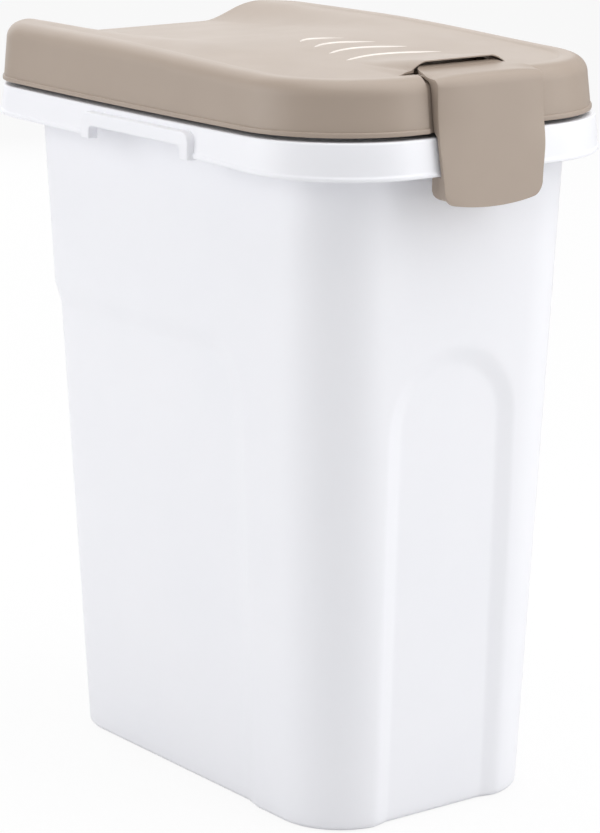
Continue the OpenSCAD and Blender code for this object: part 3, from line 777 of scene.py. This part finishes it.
# Two rings under a web hold the seal over the bin's lip, and a riser joins the web to the lid.
def sealChannel():
    mid, half, wall = binSize["wall"] / 2, seal["half"], seal["wall"]
    lipZ = binSize["height"] + binSize["lip"]
    low, web = lipZ + seal["above"], lipZ + seal["web"]

    def ring(inset, z):
        base = wallOutline(0, z)
        return [(x - nx * inset, y - ny * inset, z) for (x, y), (nx, ny) in zip(base, outwards(base))]

    def sleeve(a, b, z0, z1):
        rings = [ring(a, z0), ring(a, z1), ring(b, z1), ring(b, z0)]
        n = len(rings[0])
        faces = []
        for j in range(4):
            for i in range(n):
                k, m = (i + 1) % n, (j + 1) % 4
                faces.append((j * n + i, j * n + k, m * n + k, m * n + i))
        obj = makeObject("sleeve", [p for r in rings for p in r], faces)
        fixNormals(obj)
        return obj

    channel = sleeve(mid - half - wall, mid - half, low, web + wall)
    combine(channel, sleeve(mid + half, mid + half + wall, low, web + wall), "UNION")
    combine(channel, sleeve(mid - half - 1, mid + half + 1, web, web + wall), "UNION")
    riser = sleeve(mid - 1, mid + 1, web + 1, 560)
    combine(riser, skin("inside", lidRings(0.7, lidSize["low"] - 1)), "INTERSECT")
    combine(channel, riser, "UNION")
    return channel


def buildLid():
    outer = skin("lidShell", lidRings(0, lidSize["low"]))
    combine(outer, hoodFaceCutter(), "DIFFERENCE")
    inner = skin("lidInner", lidRings(lidSize["thick"], lidSize["low"] - 1))
    combine(inner, claspSpace(lidSize["thick"]), "DIFFERENCE")
    combine(outer, inner, "DIFFERENCE")
    combine(outer, sealChannel(), "UNION")
    for side in (-1, 1):
        x0, x1 = side * hinge["x"] - hinge["width"] / 2, side * hinge["x"] + hinge["width"] / 2
        y, z, r, root = hinge["y"], hinge["z"], hinge["r"], hinge["knuckleY"]
        pts = [(root, hinge["knuckleZ"])] + arc(y, z, r, -154, 90, 28) + [(root, z + r)]
        combine(outer, prismX("knuckle", pts, x0, x1), "UNION")
        combine(outer, rodX("bore", y, z, hinge["pin"] + hinge["clear"], x0 - 1, x1 + 1), "DIFFERENCE")
    combine(outer, claspSpace(0), "DIFFERENCE")
    for tipY, half in scoop["tips"]:
        combine(outer, scoopCutter(tipY, half), "DIFFERENCE")
    bore = rodX("bore", pivot["y"], pivot["z"], pivot["pin"], -pivot["hold"], pivot["hold"])
    combine(outer, bore, "DIFFERENCE")
    shade(outer, 35)
    return outer


# The crescents' risers are the faces near them that look forwards; they get the painted highlight colour.
def paintHighlightOnRisers(obj, mat):
    obj.data.materials.append(mat)
    for face in obj.data.polygons:
        x, y, z = face.center / mm
        if abs(x) < 44 and -132 < y < -16 and z > 538 and face.normal.y < -0.4:
            face.material_index = 1


lidShell = buildLid()
dress(lidShell, taupe, "lid", "lid_plastic", "lid")
# Paints a highlight onto the crescents' risers.
paintHighlightOnRisers(lidShell, paintedHighlight)
print("lid made", len(lidShell.data.polygons))


# The clasp's outer face down its middle, from foot to tail: y, z and the way out.
def claspPath():
    c = claspSize
    bottom, top = c["low"] + c["cornerZ"], c["topZ"] - c["bend"]
    levels = [bottom - c["cornerZ"] * math.cos(a) for a in filletSteps(14)] + spread(bottom, top, 26)[1:]
    path = [(plateY(z), z, (-1.0, 0.0)) for z in levels]
    start = c["topY"] + c["bend"]
    for a in filletSteps(14)[1:]:
        out = (-math.cos(a), math.sin(a))
        path.append((start + c["bend"] * out[0], top + c["bend"] * out[1], out))
    rollFrom = -182.8
    for y in spread(start, -206, 3)[1:] + spread(-206, -186, 20)[1:] + spread(-186, c["end"], 12)[1:]:
        roll = 3.2 * (1 - math.sqrt(1 - 0.96 * clamp01((y - rollFrom) / (c["end"] - rollFrom)) ** 2))
        ramp = 1.9 * eased(y, -187, -180.5)
        path.append((y, mix(c["topZ"], c["tailZ"], eased(y, start, start + 24)) + ramp - roll, (0.0, 1.0)))
    return path


def plateY(z):
    c = claspSize
    top = c["topZ"] - c["bend"]
    return c["topY"] - c["lean"] * (top - z) / (top - c["low"])


def frontHalf(z):
    c = claspSize
    half = mix(c["foot"], c["half"], eased(z, 454, 498))
    k = (z - c["low"]) / c["cornerZ"]
    if k < 1:
        half -= c["cornerX"] * (1 - math.sqrt(max(0.0, 1 - (1 - k) ** 2)))
    return half


# The plate: its outer face falls off towards both edges, and its foot bows upwards there.
def claspPlate():
    c = claspSize
    outer, inner = [], []
    across = spread(-1, 1, 48)
    for y, z, (ny, nz) in claspPath():
        onTop = nz > 0.99
        half = claspHalf(y) if onTop else frontHalf(z)
        fall = mix(0.9, c["crown"], eased(z, 484, 516))
        fall = mix(fall, 2.4 * eased(y, -199, -213), clamp01(nz))
        bow = 0.0 if onTop else c["bow"] * eased(z, c["low"] + 40, c["low"])
        for t in across:
            x = t * half
            lift = z + bow * (x / c["foot"]) ** 2
            for face, back in ((outer, fall * abs(t) ** 3.5), (inner, fall * abs(t) ** 3.5 + c["thick"])):
                face.append((x, y - ny * back, lift - nz * back))
    plate = slab("claspPlate", outer, inner, len(across))
    bevel(plate, 0.7, 3, 60)
    return plate


# A thin wall behind each edge of the plate, up to the flange.
def sideWall(side):
    rings = []
    for z in spread(457.6, 472.4, 14) + spread(473.2, 500.5, 18):
        x = side * (frontHalf(z - 4.2 * eased(z, 491, 451)) - 1.0)
        within = x - side * 2.0
        back = -217.2 if z < 472.8 else -220.4
        front = min(plateY(z) + 1.6 + 2.0 * eased(z, 494, 514), back - 0.4)
        rings.append([(x, front, z), (x, back, z), (within, back, z), (within, front, z)])
    wall = skin("wall", rings)
    fixNormals(wall)
    return wall


# The flange that closes each side between the plate and the lid, in y and z.
def claspFlange(side):
    x0, x1 = side * (claspSize["half"] - 2.6), side * (claspSize["half"] - 0.25)
    pts = [(-219.4, 498.8), (-214.8, 504.7), (-213.4, 513.3), (-212.1, 525.2), (-211.3, 531.8),
           (-210.1, 535.2), (-207.3, 537.6), (-203.2, 538.8), (-198.8, 539.6), (-199.2, 540.2),
           (-205.0, 540.0), (-211.0, 539.0), (-215.0, 537.2), (-217.0, 534.5), (-217.6, 529.0),
           (-218.1, 520.0), (-219.2, 505.5), (-220.4, 499.6)]
    flange = prismX("flange", pts, min(x0, x1), max(x0, x1))
    bevel(flange, 0.35, 2, 40)
    return flange


# The hook that grips under the skirt, drawn as shares of its reach and steps down from its lip.
def claspHook():
    hook = dict(half=39.8, root=-223.0, start=-220.2, reach=14.4, gap=0.6)
    lip = binSize["skirtZ"] - binSize["skirtDrop"] - hook["gap"]
    shape = ((0.0, 16.2), (0.45, 16.0), (0.72, 15.2), (0.9, 13.6), (0.98, 11.4), (1.0, 8.5), (0.98, 2.4),
             (0.9, 1.2), (0.5, 0.9), (-0.6 / hook["reach"], 0.6))
    pts = [(hook["root"], lip - 16)]
    pts += [(hook["start"] + share * hook["reach"], lip - down) for share, down in shape]
    pts += [(hook["root"], lip - 0.6)]
    obj = prismX("hook", pts, -hook["half"], hook["half"])
    bevel(obj, 0.5, 2, 40)
    return obj


def buildClasp():
    plate = claspPlate()
    for side in (-1, 1):
        combine(plate, claspFlange(side), "UNION")
        combine(plate, sideWall(side), "UNION")
    combine(plate, claspHook(), "UNION")
    y, z, half = pivot["y"], pivot["z"], pivot["barrelHalf"]
    combine(plate, rodX("barrel", y, z, pivot["barrelR"], -half, half, 48), "UNION")
    combine(plate, rodX("bore", y, z, pivot["pin"] + pivot["clear"], -60, 60, 48), "DIFFERENCE")
    shade(plate, 35)
    return plate


claspPlateObj = buildClasp()
claspPlateObj.name = "claspPlate"
dress(claspPlateObj, taupe, "clasp", "lid_plastic", "clasp")
print("clasp made", len(claspPlateObj.data.polygons))

# The pins and the seal keep the frame's meshes.
for name, mat in (("hinge_pin_left", white), ("hinge_pin_right", white), ("lid_seal", rubber),
                  ("clasp_pin", steel)):
    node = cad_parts[name]
    node.data.materials.clear()
    node.data.materials.append(mat)


# The floor is grey to the lamps and glows white to the camera, except where the object's shadow falls.
def buildFloor():
    look = dict(size=12.0, drop=0.0005, grey=0.69, rough=0.9, glow=1.02, share=0.88)
    bpy.ops.mesh.primitive_plane_add(size=look["size"], location=(0, 0, -look["drop"]))
    floor = bpy.context.object
    floor.name = "floor"
    m = Finish("floor")
    m.surface({"Base Color": (look["grey"], look["grey"], look["grey"], 1), "Roughness": look["rough"]})
    glow = m.add("Emission", sockets={"Strength": look["glow"]})
    share = m.add("LightPath", out="Is Camera Ray") * look["share"]
    seen = m.add("MixShader", sockets={0: share, 1: Value(m, m.shader.outputs[0]), 2: glow})
    m.feed(m.tree.nodes["Material Output"], {"Surface": seen})
    floor.data.materials.append(m.mat)


# The world lights the object at level, and the camera sees it white.
def buildWorld():
    level = 0.45
    world = bpy.data.worlds.new("studio")
    bpy.context.scene.world = world
    world.use_nodes = True
    nodes = Nodes(world.node_tree)
    dim = nodes.tree.nodes["Background"]
    nodes.feed(dim, {"Color": (1, 1, 1, 1), "Strength": level})
    bright = nodes.add("Background", sockets={"Color": (1, 1, 1, 1), "Strength": 1.0})
    ray = nodes.add("LightPath", out="Is Camera Ray")
    seen = nodes.add("MixShader", sockets={0: ray, 1: Value(nodes, dim.outputs[0]), 2: bright})
    nodes.feed(nodes.tree.nodes["World Output"], {"Surface": seen})


def buildLamps():
    lamps = (
        dict(name="left", at=(-2.3, 1.0, 0.9), aim=(0, 0, 0.3), size=2.2, watts=31.2),
        dict(name="right", at=(1.7, -2.0, 1.2), aim=(0, 0, 0.4), size=2.6, watts=33.5),
        dict(name="top", at=(0.4, -0.4, 2.6), aim=(0, 0, 0.5), size=2.8, watts=43.0),
        dict(name="back", at=(0.9, 2.3, 1.5), aim=(0, 0, 0.5), size=2.8, watts=24.0),
        dict(name="front", at=(-1.2, -2.4, 1.2), aim=(0, 0, 0.4), size=1.6, watts=1.6),
    )
    for lamp in lamps:
        data = bpy.data.lights.new(lamp["name"], "AREA")
        data.size = lamp["size"]
        data.energy = lamp["watts"]
        obj = bpy.data.objects.new(lamp["name"], data)
        bpy.context.scene.collection.objects.link(obj)
        obj.location = lamp["at"]
        aim = Vector(lamp["aim"]) - Vector(lamp["at"])
        obj.rotation_euler = aim.to_track_quat("-Z", "Y").to_euler()


def buildCamera():
    view = dict(azimuth=-36.756, elevation=13.408, distance=2378.32, aimRight=-1.514, aimZ=273.49,
                roll=0.1175, focal=3197.32, midU=293.23, midV=398.73, width=600, height=833)
    a, e = math.radians(view["azimuth"]), math.radians(view["elevation"])
    back = Vector((math.sin(a) * math.cos(e), -math.cos(a) * math.cos(e), math.sin(e)))
    right = Vector((math.cos(a), math.sin(a), 0))
    aim = right * view["aimRight"] + Vector((0, 0, view["aimZ"]))
    data = bpy.data.cameras.new("camera")
    data.sensor_width = 36.0
    data.lens = view["focal"] / view["height"] * data.sensor_width
    data.shift_x = (view["width"] / 2 - view["midU"]) / view["height"]
    data.shift_y = (view["midV"] - view["height"] / 2) / view["height"]
    data.clip_end = 50
    obj = bpy.data.objects.new("camera", data)
    bpy.context.scene.collection.objects.link(obj)
    obj.location = (aim + back * view["distance"]) * mm
    obj.rotation_euler = back.to_track_quat("Z", "Y").to_euler()
    obj.rotation_euler.rotate_axis("Z", math.radians(view["roll"]))
    bpy.context.scene.camera = obj


buildFloor()
buildWorld()
buildLamps()
buildCamera()
bpy.context.scene.view_settings.view_transform = "Standard"
print("studio made")
